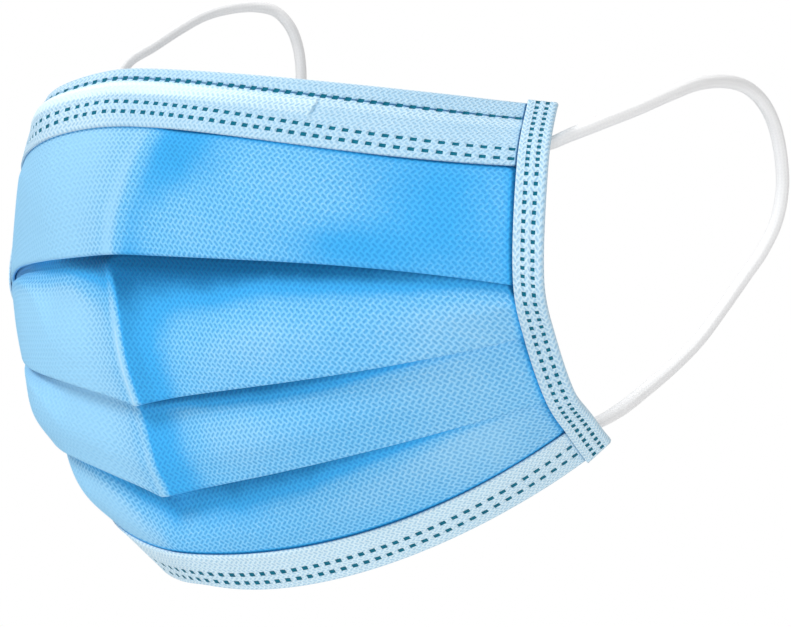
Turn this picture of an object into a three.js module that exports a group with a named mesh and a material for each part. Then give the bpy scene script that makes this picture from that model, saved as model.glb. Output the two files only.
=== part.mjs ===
// Surgical face mask: a pleated cloth body, a binding on each of its four edges, a nose wire in the
// top binding, and an elastic ear loop on each side.
// Millimetres, +Z up. The mask faces -Y and a face fills it from +Y. The origin is the middle of the
// top edge, which sits on the bridge of the nose. Left and right are the wearer's.
import * as THREE from "three";

// The spread of the opened mask.
const halfSpan = 74; // middle to a side binding's inner edge, where the mask is widest
const reach = 66; // from the bridge of the nose back to the lower corners
const height = 98.5; // from the bridge of the nose down to the edge under the chin

// Cloth, bindings and pleats.
const clothWall = 1; // the body's three layers of cloth, pressed together
const tapeWall = 1; // one wall of a folded binding tape
const pressedShare = 0.65; // how thin the cloth is pressed inside the side bindings
const fitGap = 0.3; // clearance between neighbouring pieces
const pleatLoft = 0.7; // extra room between a pleat's layers in the middle, where it opens out
const tuckMiddle = 4.5; // how far a pleat folds up behind itself in the middle
const tuckSide = 6; // and at the sides, where the binding holds it shut
const bodyInTopBinding = 4; // how far the body reaches up between the top binding's walls
const bodyInBottomBinding = 3.5;
const sideBindingWidth = 6.6;
const sideBindingOverhang = 0.3; // how far the side bindings run past the top and bottom edges
const bodyInSideBinding = 5;
const pressLength = 6; // stretch beside a side binding over which the cloth thins and closes up
const tapeCorner = 0.9; // chamfer where a side binding's tape folds over
const sideBindingStep = 3.2; // longest facet along a side binding

// Nose wire, a flat strip of soft wire in a plastic coat, between the walls of the top binding.
const wireLength = 98;
const wireWidth = 4;
const wireThickness = 1;
const wirePlace = 0.42; // its middle, as a share of the top binding's width below the top edge

// Ear loops.
const cordDiameter = 2.7;
const cordSides = 8;
const cordSteps = 36;

// Lines that run across the mask from top to bottom. Each is a curve from the middle of the mask to
// the side binding, the same on both sides. Its lengths are shares: out of halfSpan, back of reach
// and down of height. "cheek" and "jaw" steer the curve between the middle and the side.
const lines = [
  { name: "top edge",
    middle: { back: 0, down: 0 },
    cheek: { out: 0.39, back: 0.015, down: 0.025 },
    jaw: { out: 0.66, back: 0.23, down: 0.055 },
    side: { out: 0.825, back: 0.7, down: 0.075 } },
  { name: "top binding's lower edge",
    middle: { back: -0.05, down: 0.115 },
    cheek: { out: 0.345, back: -0.07, down: 0.12 },
    jaw: { out: 0.625, back: 0.135, down: 0.185 },
    side: { out: 0.932, back: 0.515, down: 0.2 } },
  { name: "first pleat",
    middle: { back: -0.015, down: 0.355 },
    cheek: { out: 0.32, back: 0, down: 0.37 },
    jaw: { out: 0.64, back: 0.142, down: 0.365 },
    side: { out: 0.975, back: 0.447, down: 0.415 } },
  { name: "second pleat",
    middle: { back: 0.075, down: 0.645 },
    cheek: { out: 0.33, back: 0.045, down: 0.6 },
    jaw: { out: 0.665, back: 0.16, down: 0.59 },
    side: { out: 0.955, back: 0.515, down: 0.508 } },
  { name: "third pleat",
    middle: { back: 0.175, down: 0.823 },
    cheek: { out: 0.36, back: 0.15, down: 0.773 },
    jaw: { out: 0.67, back: 0.27, down: 0.722 },
    side: { out: 0.91, back: 0.668, down: 0.628 } },
  { name: "bottom binding's upper edge",
    middle: { back: 0.223, down: 0.938 },
    cheek: { out: 0.338, back: 0.282, down: 0.938 },
    jaw: { out: 0.65, back: 0.475, down: 0.88 },
    side: { out: 0.865, back: 0.817, down: 0.692 } },
  { name: "bottom edge",
    middle: { back: 0.314, down: 1 },
    cheek: { out: 0.285, back: 0.376, down: 1.036 },
    jaw: { out: 0.637, back: 0.617, down: 0.93 },
    side: { out: 0.805, back: 0.988, down: 0.753 } },
];
const numberOf = (name) => lines.findIndex((line) => line.name === name);
const TOP_EDGE = numberOf("top edge");
const TOP_TAPE = numberOf("top binding's lower edge");
const PLEATS = ["first pleat", "second pleat", "third pleat"].map(numberOf);
const BOTTOM_TAPE = numberOf("bottom binding's upper edge");
const BOTTOM_EDGE = numberOf("bottom edge");

// Routes of the two ear loops, each from its upper weld round to its lower weld.
const leftLoopRoute = [
  [61.4, 46.1, -15.7], [62.7, 49.9, -15.1], [64.8, 53.8, -13.3], [67.2, 59.6, -10.9],
  [69.3, 67.3, -8.1], [70.5, 76.1, -4.9], [70.8, 84.8, -2.3], [70.6, 94.3, -1.2], [69.8, 103.2, -1.9],
  [69.3, 109.5, -4.6], [68.6, 114.4, -9], [67.9, 117.7, -15.2], [67, 119.5, -21.1],
  [65.7, 119.4, -27.6], [64, 117, -33.7], [62, 112.9, -39.6], [60.7, 107.4, -45.7],
  [59.6, 100.7, -52.1], [58.8, 92.9, -57.3], [58.3, 85.4, -61.3], [58, 77.5, -65], [57.3, 70.7, -67.2],
  [55.8, 65.4, -67.9],
];
const rightLoopRoute = [
  [-61.4, 46.1, -15.7], [-63.2, 50.6, -14.4], [-65.2, 54.4, -10.6], [-66.4, 55.8, -5.5], [-67.1, 55.2, 0],
  [-67.1, 55.2, 5], [-65.9, 57, 9.2], [-63.1, 62, 13], [-60.9, 67.6, 17], [-58.7, 73.3, 20.5],
  [-56, 78.7, 22.4], [-53.3, 84.1, 23.1], [-51.3, 88.7, 22.2], [-49.7, 91.6, 19.1], [-49.1, 93.5, 15],
  [-48.8, 94.4, 9.8], [-49.1, 94.6, 3.1], [-50, 94.2, -7.3], [-51.2, 92.7, -18], [-52.6, 90.5, -27.1],
  [-54, 87.8, -36], [-55.2, 84.2, -45], [-56.4, 79.6, -53.5], [-57.2, 74.5, -60.5],
  [-57.2, 69.6, -65.4], [-55.8, 65.4, -67.9],
];

// How many straight pieces stand for the curves of a section.
const panelPieces = 5;
const lowerFoldPoints = 3;
const upperFoldPoints = 2;
const tapeFoldPoints = 3;
const wirePieces = 6;

const shareNudge = 0.004; // step of share or millimetres over which the surface's slope is taken
const lineNudge = 0.01; // the same between two lines

const clamp = THREE.MathUtils.clamp;
const lerp = THREE.MathUtils.lerp;
const smooth = THREE.MathUtils.smoothstep;

// One table row as a curve in space, from the middle to the left side of the mask.
function curveOfLine(line) {
  const point = ({ out = 0, back, down }) =>
    new THREE.Vector3(out * halfSpan, back * reach, -down * height);
  return new THREE.CubicBezierCurve3(
    point(line.middle), point(line.cheek), point(line.jaw), point(line.side));
}
const curves = lines.map(curveOfLine);

// A station is a place across the mask: a side of 1 or -1, a share of the way from the middle to the
// side binding, and a length beyond that binding's inner edge.
function pointAcross(curve, { side, share, beyond }) {
  const point = curve.getPoint(share);
  if (beyond > 0) point.addScaledVector(curve.getTangent(1), beyond);
  point.x *= side;
  return point;
}

// The front surface of the mask at one station, as a curve down from the top edge.
function chainAt(station) {
  const points = curves.map((curve) => pointAcross(curve, station));
  const marks = [0];
  for (let i = 1; i < points.length; i += 1) {
    marks.push(marks[i - 1] + points[i].distanceTo(points[i - 1]));
  }
  const curve = new THREE.CatmullRomCurve3(points, false, "centripetal");
  const last = points.length - 1;

  // The number of the line that lies this length down, with a fraction between two lines.
  function lineAt(length) {
    let i = 0;
    while (i < last - 1 && length > marks[i + 1]) i += 1;
    return i + (length - marks[i]) / (marks[i + 1] - marks[i]);
  }

  function pointAt(line) {
    const inside = clamp(line, 0, last);
    const point = curve.getPoint(inside / last);
    if (inside !== line) {
      const span = inside === 0 ? marks[1] : marks[last] - marks[last - 1];
      point.addScaledVector(curve.getTangent(inside / last), (line - inside) * span);
    }
    return point;
  }

  return { marks, lineAt, pointAt };
}

// A column is a station with what is needed to lay cloth there: place(length, depth) is the point that
// lies that length down the front surface and that depth behind it.
function columnAt(station) {
  const chain = chainAt(station);
  const outer = { ...station };
  const inner = { ...station };
  if (station.beyond > 0) {
    outer.beyond += shareNudge;
    inner.beyond -= shareNudge;
  } else {
    outer.share += shareNudge;
    inner.share -= shareNudge;
  }
  if (outer.share > 1) Object.assign(outer, { share: 1, beyond: shareNudge });
  if (inner.share < 0) Object.assign(inner, { share: shareNudge, side: -station.side });
  const outerChain = chainAt(outer);
  const innerChain = chainAt(inner);

  function placeAtLine(line, depth) {
    const inside = clamp(line, TOP_EDGE, BOTTOM_EDGE);
    const across = outerChain.pointAt(inside).sub(innerChain.pointAt(inside));
    const down = chain.pointAt(inside + lineNudge).sub(chain.pointAt(inside - lineNudge));
    const inwards = across.cross(down).multiplyScalar(station.side).normalize();
    return chain.pointAt(line).addScaledVector(inwards, depth);
  }

  // How tightly the cloth is pressed here, from 0 in the open cloth to 1 in the side binding.
  const sideLine = curves[PLEATS[0]];
  const toBinding = (1 - station.share) * sideLine.getLength();
  const pressed = 1 - smooth(toBinding, 0, pressLength);
  const wall = clothWall * lerp(1, pressedShare, pressed);
  const tape = tapeWall * lerp(1, pressedShare, pressed);
  const pitch = wall + fitGap + pleatLoft * (1 - station.share ** 2);
  const tuck = lerp(tuckMiddle, tuckSide, station.share);
  const place = (length, depth) => placeAtLine(chain.lineAt(length), depth);
  return { marks: chain.marks, lineAt: chain.lineAt, place, placeAtLine, wall, tape, pitch, tuck };
}

// Stations from the wearer's right to the left; "beyond" lists the lengths past a binding's edge.
function stationsAcross(shares, beyond) {
  const half = [
    ...shares.map((share) => ({ side: 1, share, beyond: 0 })),
    ...beyond.map((length) => ({ side: 1, share: 1, beyond: length })),
  ];
  const mirrored = half.slice(1).reverse().map((station) => ({ ...station, side: -1 }));
  return [...mirrored, ...half];
}
const shares = [0, 0.11, 0.22, 0.33, 0.44, 0.55, 0.66, 0.76, 0.85, 0.93, 1];
const columns = stationsAcross(shares, [bodyInSideBinding]).map(columnAt);

// Half-circle fold between two layers, in length and depth. "turn" is 1 where the cloth turns back
// up and -1 where it turns down again.
function fold(length, depth, pitch, turn, points) {
  const radius = pitch / 2;
  return Array.from({ length: points }, (unused, i) => {
    const angle = (Math.PI * (i + 1)) / (points + 1);
    return [length + turn * radius * Math.sin(angle), depth + radius * (1 - Math.cos(angle))];
  });
}

// Gives a path in length and depth a wall, and returns the closed outline, one side out and the other back.
function walled(path, wall) {
  const normalOf = ([x0, y0], [x1, y1]) => {
    const size = Math.hypot(x1 - x0, y1 - y0);
    return [(y1 - y0) / size, -(x1 - x0) / size];
  };
  const front = [];
  const back = [];
  path.forEach((point, i) => {
    const before = normalOf(path[Math.max(i - 1, 0)], path[Math.max(i, 1)]);
    const last = path.length - 1;
    const after = normalOf(path[Math.min(i, last - 1)], path[Math.min(i + 1, last)]);
    const sum = [before[0] + after[0], before[1] + after[1]];
    const scale = wall / (sum[0] ** 2 + sum[1] ** 2);
    front.push([point[0] + sum[0] * scale, point[1] + sum[1] * scale]);
    back.unshift([point[0] - sum[0] * scale, point[1] - sum[1] * scale]);
  });
  return [...front, ...back];
}

// A closed solid through outlines that "walled" made, each a front row of points and then a back row
// in reverse. Quads between the two rows close its ends.
function loft(outlines) {
  const count = outlines[0].length;
  const positions = outlines.flat().flatMap((point) => [point.x, point.y, point.z]);
  const index = [];
  for (let row = 0; row < outlines.length - 1; row += 1) {
    for (let i = 0; i < count; i += 1) {
      const a = row * count + i;
      const b = row * count + ((i + 1) % count);
      index.push(a, b, a + count, b, b + count, a + count);
    }
  }
  const lastOutline = (outlines.length - 1) * count;
  for (let i = 0; i < count / 2 - 1; i += 1) {
    const [a, b, c, d] = [i, i + 1, count - 2 - i, count - 1 - i];
    index.push(b, a, c, c, a, d);
    index.push(...[a, b, c, a, c, d].map((corner) => corner + lastOutline));
  }
  return facingOut(positions, index);
}

function facingOut(positions, index) {
  let volume = 0;
  const corner = (i) => new THREE.Vector3().fromArray(positions, 3 * i);
  for (let i = 0; i < index.length; i += 3) {
    volume += corner(index[i]).dot(corner(index[i + 1]).cross(corner(index[i + 2])));
  }
  if (volume < 0) index.reverse();
  const geometry = new THREE.BufferGeometry();
  geometry.setAttribute("position", new THREE.Float32BufferAttribute(positions, 3));
  geometry.setIndex(index);
  geometry.computeVertexNormals();
  return geometry;
}

// Lofts a folded strip of cloth across the mask. "pathAt" gives its path at a column.
function clothAcross(acrossColumns, pathAt, wallAt) {
  return loft(acrossColumns.map((column) =>
    walled(pathAt(column), wallAt(column)).map(([length, depth]) => column.place(length, depth))));
}

// A stretch of cloth that comes forward from one depth to another, with a soft start and end.
function rise(from, to, depthFrom, depthTo, points) {
  return Array.from({ length: points + 1 }, (unused, i) => {
    const length = lerp(from, to, i / points);
    return [length, lerp(depthFrom, depthTo, smooth(i / points, 0, 1))];
  });
}

// The body is one sheet: a panel comes forward to each pleat, folds up behind itself, folds down
// again and runs on as the next panel.
function bodyPath({ marks, wall, tape, pitch, tuck }) {
  const front = wall / 2;
  const bound = tape + fitGap + wall / 2;
  const radius = pitch / 2;
  const held = (edge, hold) => [0, 0.5, 1].map((part) => [edge + part * hold, bound]);
  const path = held(marks[TOP_TAPE], -bodyInTopBinding).reverse();
  let start = marks[TOP_TAPE] + fitGap;
  let depth = bound;
  for (const pleat of PLEATS) {
    const turnDown = marks[pleat] - front - radius;
    const turnUp = marks[pleat] - tuck;
    const middle = (turnUp + turnDown) / 2;
    path.push(...rise(start, turnUp - front - radius, depth, front, panelPieces));
    path.push([middle, front], [turnDown, front]);
    path.push(...fold(turnDown, front, pitch, 1, lowerFoldPoints));
    path.push(...[turnDown, middle, turnUp].map((length) => [length, front + pitch]));
    path.push(...fold(turnUp, front + pitch, pitch, -1, upperFoldPoints));
    depth = front + 2 * pitch;
    path.push([turnUp, depth], [middle, depth]);
    start = marks[pleat];
  }
  const endOfPanel = marks[BOTTOM_TAPE] - fitGap;
  path.push(...rise(start, endOfPanel, depth, bound, panelPieces));
  path.push(...held(marks[BOTTOM_TAPE], bodyInBottomBinding));
  return path;
}

// A binding tape folded over the top or bottom edge, from its front wall round to its back wall.
// "hold" is how far the body reaches in between the walls.
function tapePath({ marks, wall, tape }, edge, inner, hold) {
  const turn = Math.sign(edge - inner);
  const front = tape / 2;
  const pitch = tape + fitGap + wall + fitGap;
  const foldAt = marks[edge] - turn * (front + pitch / 2);
  const bodyEdge = marks[inner] + turn * hold;
  const lengths = [
    marks[inner], (marks[inner] + bodyEdge) / 2,
    ...[0, 1 / 3, 2 / 3, 1].map((part) => lerp(bodyEdge, foldAt, part)),
  ];
  return [
    ...lengths.map((length) => [length, front]),
    ...fold(foldAt, front, pitch, turn, tapeFoldPoints),
    ...lengths.reverse().map((length) => [length, front + pitch]),
  ];
}

function makeBody() {
  return clothAcross(columns, bodyPath, (column) => column.wall);
}

function makeTopBinding() {
  const path = (column) => tapePath(column, TOP_EDGE, TOP_TAPE, bodyInTopBinding);
  return clothAcross(columns, path, (column) => column.tape);
}

function makeBottomBinding() {
  const path = (column) => tapePath(column, BOTTOM_EDGE, BOTTOM_TAPE, bodyInBottomBinding);
  return clothAcross(columns, path, (column) => column.tape);
}

function makeNoseWire() {
  const topCurve = curves[TOP_EDGE];
  const wireShares = Array.from({ length: wirePieces + 1 }, (unused, i) =>
    i === 0 ? 0 : topCurve.getUtoTmapping(0, (wireLength / 2) * (i / wirePieces)));
  const wireColumns = stationsAcross(wireShares, []).map(columnAt);
  const wirePath = ({ marks, tape }) => {
    const middle = wirePlace * marks[TOP_TAPE];
    const depth = tape + fitGap + wireThickness / 2;
    return [[middle - wireWidth / 2, depth], [middle + wireWidth / 2, depth]];
  };
  return clothAcross(wireColumns, wirePath, () => wireThickness);
}

// A side binding is a tape folded over the stacked pleats: its section runs outwards on the front,
// over the outer edge and back behind the stack.
function makeSideBinding(side) {
  const edgeColumn = columnAt({ side, share: 1, beyond: 0 });
  const stack = 3 * edgeColumn.wall + 2 * fitGap;
  const front = -fitGap - tapeWall / 2;
  const back = stack + fitGap + tapeWall / 2;
  const outside = sideBindingWidth - tapeWall / 2;
  const path = [
    [0, front], [outside - tapeCorner, front], [outside, front + tapeCorner],
    [outside, back - tapeCorner], [outside - tapeCorner, back], [0, back],
  ];
  const flat = walled(path, tapeWall);
  const total = edgeColumn.marks[BOTTOM_EDGE] + 2 * sideBindingOverhang;
  const count = Math.ceil(total / sideBindingStep);
  const outlines = Array.from({ length: count + 1 }, (unused, i) => {
    const line = edgeColumn.lineAt((total * i) / count - sideBindingOverhang);
    return flat.map(([beyond, depth]) =>
      columnAt({ side, share: 1, beyond: Math.max(beyond, 0) }).placeAtLine(line, depth));
  });
  return loft(outlines);
}

// An elastic cord along its route, with both ends against the back of its side binding.
function makeEarLoop(route) {
  const section = new THREE.Shape(Array.from({ length: cordSides }, (unused, i) => {
    const angle = (2 * Math.PI * i) / cordSides;
    const radius = cordDiameter / 2;
    return new THREE.Vector2(radius * Math.cos(angle), radius * Math.sin(angle));
  }));
  const path = new THREE.CatmullRomCurve3(route.map((point) => new THREE.Vector3(...point)));
  return new THREE.ExtrudeGeometry(section, { steps: cordSteps, extrudePath: path });
}

const blueCloth = { color: 0x55b4f5, roughness: 0.85, metalness: 0 };
const paleTape = { color: 0xd9e9f6, roughness: 0.8, metalness: 0 };
const coatedWire = { color: 0xe9ecee, roughness: 0.5, metalness: 0 };
const whiteElastic = { color: 0xf1f1f3, roughness: 0.8, metalness: 0 };

const mask = new THREE.Group();

function add(name, geometry, finish) {
  const mesh = new THREE.Mesh(geometry, new THREE.MeshStandardMaterial(finish));
  mesh.name = name;
  mask.add(mesh);
}

add("pleated_body", makeBody(), blueCloth);
add("top_binding", makeTopBinding(), paleTape);
add("bottom_binding", makeBottomBinding(), paleTape);
add("nose_wire", makeNoseWire(), coatedWire);
add("side_binding_left", makeSideBinding(1), paleTape);
add("side_binding_right", makeSideBinding(-1), paleTape);
add("ear_loop_left", makeEarLoop(leftLoopRoute), whiteElastic);
add("ear_loop_right", makeEarLoop(rightLoopRoute), whiteElastic);

export default mask;
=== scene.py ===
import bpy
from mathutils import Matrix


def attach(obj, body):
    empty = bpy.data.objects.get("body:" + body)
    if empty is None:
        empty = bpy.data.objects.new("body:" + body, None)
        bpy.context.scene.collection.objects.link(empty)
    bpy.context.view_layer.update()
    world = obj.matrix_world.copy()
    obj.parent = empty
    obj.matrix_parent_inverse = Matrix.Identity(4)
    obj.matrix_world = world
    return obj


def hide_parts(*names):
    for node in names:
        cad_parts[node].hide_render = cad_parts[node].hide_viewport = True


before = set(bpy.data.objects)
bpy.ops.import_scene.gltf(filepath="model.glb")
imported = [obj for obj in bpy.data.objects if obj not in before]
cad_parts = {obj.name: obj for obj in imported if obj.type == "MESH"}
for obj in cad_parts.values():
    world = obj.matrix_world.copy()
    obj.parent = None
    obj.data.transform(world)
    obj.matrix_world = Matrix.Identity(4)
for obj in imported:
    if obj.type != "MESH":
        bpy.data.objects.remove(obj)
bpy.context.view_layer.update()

import math

import bpy
import numpy as np
from mathutils import Matrix, Vector


# The camera stands a little to the wearer's left of the mask, level with its middle and about
# 0.44 m away, with a long lens.
LENS = 100.09
EYE = Vector((0.32088, -0.25957, -0.03995))
TURN = math.radians(43.78)
TILT = math.radians(0.86)

camera_data = bpy.data.cameras.new("camera")
camera_data.lens = LENS
camera_data.sensor_width = 36
camera_data.clip_start = 0.01
camera = bpy.data.objects.new("camera", camera_data)
bpy.context.scene.collection.objects.link(camera)
to_eye = Vector((math.sin(TURN) * math.cos(TILT), -math.cos(TURN) * math.cos(TILT), math.sin(TILT)))
to_right = Vector((math.cos(TURN), math.sin(TURN), 0))
to_top = to_eye.cross(to_right)
camera.matrix_world = Matrix.Translation(EYE) @ Matrix((to_right, to_top, to_eye)).transposed().to_4x4()
bpy.context.scene.camera = camera


# The ear loops are round knitted elastic, nearly white. Each end bends to its side binding, where it
# is pressed flat and welded on.
CORD_DIAMETER = 0.0027
CORD_SIDES = 28
CORD_PRESSED = 0.0035
# How far the upper and the lower end come forward to the back of the side binding, over the last
# stretch of the cord, and the way there for the left loop.
CORD_FEET = (0.0022, 0.0029)
FOOT_REACH = 0.013
FOOT_WAY = (0.78, -0.62)
LEFT_LOOP = [
    [61.4, 46.1, -15.7], [62.7, 49.9, -15.1], [64.8, 53.8, -13.3], [67.2, 59.6, -10.9],
    [69.3, 67.3, -8.1], [70.5, 76.1, -4.9], [70.8, 84.8, -2.3], [70.6, 94.3, -1.2], [69.8, 103.2, -1.9],
    [69.3, 109.5, -4.6], [68.6, 114.4, -9], [67.9, 117.7, -15.2], [67, 119.5, -21.1],
    [65.7, 119.4, -27.6], [64, 117, -33.7], [62, 112.9, -39.6], [60.7, 107.4, -45.7],
    [59.6, 100.7, -52.1], [58.8, 92.9, -57.3], [58.3, 85.4, -61.3], [58, 77.5, -65], [57.3, 70.7, -67.2],
    [55.8, 65.4, -67.9],
]
RIGHT_LOOP = [
    [-61.4, 46.1, -15.7], [-63.2, 50.6, -14.4], [-65.2, 54.4, -10.6], [-66.4, 55.8, -5.5], [-67.1, 55.2, 0],
    [-67.1, 55.2, 5], [-65.9, 57, 9.2], [-63.1, 62, 13], [-60.9, 67.6, 17], [-58.7, 73.3, 20.5],
    [-56, 78.7, 22.4], [-53.3, 84.1, 23.1], [-51.3, 88.7, 22.2], [-49.7, 91.6, 19.1], [-49.1, 93.5, 15],
    [-48.8, 94.4, 9.8], [-49.1, 94.6, 3.1], [-50, 94.2, -7.3], [-51.2, 92.7, -18], [-52.6, 90.5, -27.1],
    [-54, 87.8, -36], [-55.2, 84.2, -45], [-56.4, 79.6, -53.5], [-57.2, 74.5, -60.5],
    [-57.2, 69.6, -65.4], [-55.8, 65.4, -67.9],
]


def spans_through(points):
    """The cubic pieces of a smooth curve through points [count, station, xyz], four terms each."""
    p = np.concatenate([2 * points[:1] - points[1:2], points, 2 * points[-1:] - points[-2:-1]])
    gap = np.sqrt(np.linalg.norm(np.diff(p, axis=0), axis=2))[..., None]
    a, b, c = gap[:-2], gap[1:-1], gap[2:]
    p0, p1, p2, p3 = p[:-3], p[1:-2], p[2:-1], p[3:]
    start = ((p1 - p0) / a - (p2 - p0) / (a + b) + (p2 - p1) / b) * b
    end = ((p2 - p1) / b - (p3 - p1) / (b + c) + (p3 - p2) / c) * b
    return p1, start, 3 * (p2 - p1) - 2 * start - end, 2 * (p1 - p2) + start + end


def along(terms, place):
    """Points of such a curve, one row of places for each station; past an end it runs on straight."""
    last = len(terms[0])
    inside = np.clip(place, 0, last)
    span = np.minimum(inside.astype(int), last - 1)
    t = (inside - span)[..., None]
    station = np.arange(place.shape[0])[:, None]
    c0, c1, c2, c3 = (term[span, station] for term in terms)
    slope = c1 + 2 * c2 * t + 3 * c3 * t * t
    return c0 + c1 * t + c2 * t * t + c3 * t**3 + slope * (place - inside)[..., None]


def math_node(tree, operation, a, b=0.0, c=0.0):
    """One Math node's result; a, b and c are sockets or numbers."""
    node = tree.nodes.new("ShaderNodeMath")
    node.operation = operation
    for socket, value in zip(node.inputs, (a, b, c)):
        if isinstance(value, bpy.types.NodeSocket):
            tree.links.new(value, socket)
        else:
            socket.default_value = value
    return node.outputs[0]


def mixed(tree, factor, a, b):
    """One colour mixed into another; a and b are colours or sockets."""
    node = tree.nodes.new("ShaderNodeMix")
    node.data_type = "RGBA"
    for socket, value in ((node.inputs["Factor"], factor), (node.inputs[6], a), (node.inputs[7], b)):
        if isinstance(value, bpy.types.NodeSocket):
            tree.links.new(value, socket)
        else:
            socket.default_value = value if isinstance(value, float) else (*value, 1)
    return node.outputs[2]


def finish_named(name, roughness, specular=0.3, sheen=0.0):
    """A material with a Principled shader, its node tree and the shader."""
    material = bpy.data.materials.new(name)
    material.use_nodes = True
    shader = material.node_tree.nodes["Principled BSDF"]
    shader.inputs["Roughness"].default_value = roughness
    shader.inputs["Specular IOR Level"].default_value = specular
    shader.inputs["Sheen Weight"].default_value = sheen
    return material, material.node_tree, shader


def bumped(tree, shader, height, distance):
    """Sends a height to the shader's normal."""
    bump = tree.nodes.new("ShaderNodeBump")
    bump.inputs["Strength"].default_value = 1
    bump.inputs["Distance"].default_value = distance
    tree.links.new(height, bump.inputs["Height"])
    tree.links.new(bump.outputs["Normal"], shader.inputs["Normal"])


knit, tree, shader = finish_named("white knitted elastic", 0.75, 0.25, 0.2)
place = tree.nodes.new("ShaderNodeUVMap")
place.uv_map = "cloth"
split = tree.nodes.new("ShaderNodeSeparateXYZ")
tree.links.new(place.outputs["UV"], split.inputs[0])
around, length = split.outputs[0], split.outputs[1]
WALES = 11
STITCH = 0.75
in_wale = math_node(tree, "FRACT", math_node(tree, "MULTIPLY", around, WALES))
from_middle = math_node(tree, "ABSOLUTE", math_node(tree, "SUBTRACT", in_wale, 0.5))
course = math_node(tree, "ADD", math_node(tree, "DIVIDE", length, STITCH), from_middle)
yarn = math_node(tree, "ABSOLUTE", math_node(tree, "SUBTRACT", math_node(tree, "FRACT", course), 0.5))
groove = math_node(tree, "MULTIPLY", from_middle, -0.9)
height = math_node(tree, "ADD", groove, math_node(tree, "MULTIPLY", yarn, -0.7))
shade = tree.nodes.new("ShaderNodeMapRange")
tree.links.new(height, shade.inputs["Value"])
for socket, number in zip(shade.inputs[1:5], (-0.8, -0.05, 0, 1)):
    socket.default_value = number
tree.links.new(mixed(tree, shade.outputs["Result"], (0.83, 0.83, 0.84), (0.90, 0.90, 0.90)),
               shader.inputs["Base Color"])
bumped(tree, shader, height, 0.00005)


def built(name, points, faces, uvs=None, tones=None, slots=None, materials=()):
    """A smooth-shaded mesh object. uvs has a pair for each corner of each face, and tones a value for
    each point."""
    mesh = bpy.data.meshes.new(name)
    mesh.from_pydata(points.tolist(), [], faces)
    if uvs is not None:
        mesh.uv_layers.new(name="cloth").data.foreach_set("uv", np.ravel(uvs).astype(np.float32))
    if tones is not None:
        mesh.attributes.new("tone", "FLOAT", "POINT").data.foreach_set("value", tones.astype(np.float32))
    for material in materials:
        mesh.materials.append(material)
    if slots is not None:
        mesh.polygons.foreach_set("material_index", slots.astype(np.int32))
    mesh.polygons.foreach_set("use_smooth", np.ones(len(mesh.polygons), bool))
    mesh.update()
    piece = bpy.data.objects.new(name, mesh)
    bpy.context.scene.collection.objects.link(piece)
    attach(piece, "root")
    return piece


def ear_loop(name, node, route):
    """A cord along its route, round but for its two flat ends."""
    line = np.array(route)[:, None, :] / 1000
    terms = spans_through(line)
    places = np.linspace(0, len(route) - 1, 12 * (len(route) - 1) + 1)[None]
    path = along(terms, places)[0]
    step = np.linalg.norm(np.diff(path, axis=0), axis=1)
    length = np.concatenate([[0], np.cumsum(step)])
    to_end = np.minimum(length, length[-1] - length)
    flat_way = np.array([FOOT_WAY[0] * np.sign(route[0][0]), FOOT_WAY[1], 0.0])
    foot = np.where(length < length[-1] / 2, *CORD_FEET)
    near_end = np.clip(1 - to_end / FOOT_REACH, 0, 1)
    path = path + flat_way * (foot * near_end ** 2.2)[:, None]
    way = np.gradient(path, axis=0)
    way /= np.linalg.norm(way, axis=1)[:, None]
    up = np.cross(way, flat_way)
    up /= np.linalg.norm(up, axis=1)[:, None]
    out = np.cross(up, way)
    angle = np.linspace(0, 2 * math.pi, CORD_SIDES, endpoint=False)
    pressed = np.clip(1 - to_end / CORD_PRESSED, 0, 1) ** 2 * 0.55
    radius = CORD_DIAMETER / 2
    wide = (radius * (1 - 0.22 * near_end))[:, None, None]
    thin = (radius * (0.94 - pressed))[:, None, None]
    ring = (path[:, None] + wide * np.cos(angle)[None, :, None] * up[:, None]
            + thin * np.sin(angle)[None, :, None] * out[:, None])
    rows = len(path)
    i, j = np.meshgrid(np.arange(rows - 1), np.arange(CORD_SIDES), indexing="ij")
    k = (j + 1) % CORD_SIDES
    quads = np.stack([i * CORD_SIDES + j, (i + 1) * CORD_SIDES + j, (i + 1) * CORD_SIDES + k,
                      i * CORD_SIDES + k], axis=-1).reshape(-1, 4)
    points = np.concatenate([ring.reshape(-1, 3), path[[0, -1]]])
    tip = rows * CORD_SIDES
    a, b = np.arange(CORD_SIDES), (np.arange(CORD_SIDES) + 1) % CORD_SIDES
    caps = [np.stack([a, b, np.full(CORD_SIDES, tip)], 1),
            np.stack([b + tip - CORD_SIDES, a + tip - CORD_SIDES, np.full(CORD_SIDES, tip + 1)], 1)]
    faces = quads.tolist() + np.concatenate(caps).tolist()
    uvs = []
    for ids in faces:
        turns = [0.0 if v >= tip else (v % CORD_SIDES) / CORD_SIDES for v in ids]
        wraps = max(turns) - min(turns) > 0.5
        for v, turn in zip(ids, turns):
            row = min(v // CORD_SIDES, rows - 1) if v < tip else (0 if v == tip else rows - 1)
            uvs.append((turn + (1 if wraps and turn < 0.5 else 0), length[row] * 1000))
    piece = built(name, points, faces, uvs, materials=[knit])
    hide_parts(node)
    return piece


ear_loop("left_ear_loop", "ear_loop_left", LEFT_LOOP)
ear_loop("right_ear_loop", "ear_loop_right", RIGHT_LOOP)


# The body is one sheet of soft blue nonwoven cloth in three layers, embossed all over with short
# slanting strokes. Three pleats run across it and open out towards the middle.
HALF_SPAN = 0.074
REACH = 0.066
HEIGHT = 0.0985
CLOTH = 0.00045
CLOTH_PRESSED = 0.0003
TUCK_MIDDLE = 0.0045
TUCK_SIDE = 0.006
BEHIND_MIDDLE, BEHIND_SIDE = 0.0026, 0.00085
TURN_MIDDLE, TURN_SIDE = 0.00045, 0.00017
IN_BINDING_DEPTH = 0.00066
SIDE_UNIT = 0.1
IN_SIDE_BINDING = 0.0042
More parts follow.
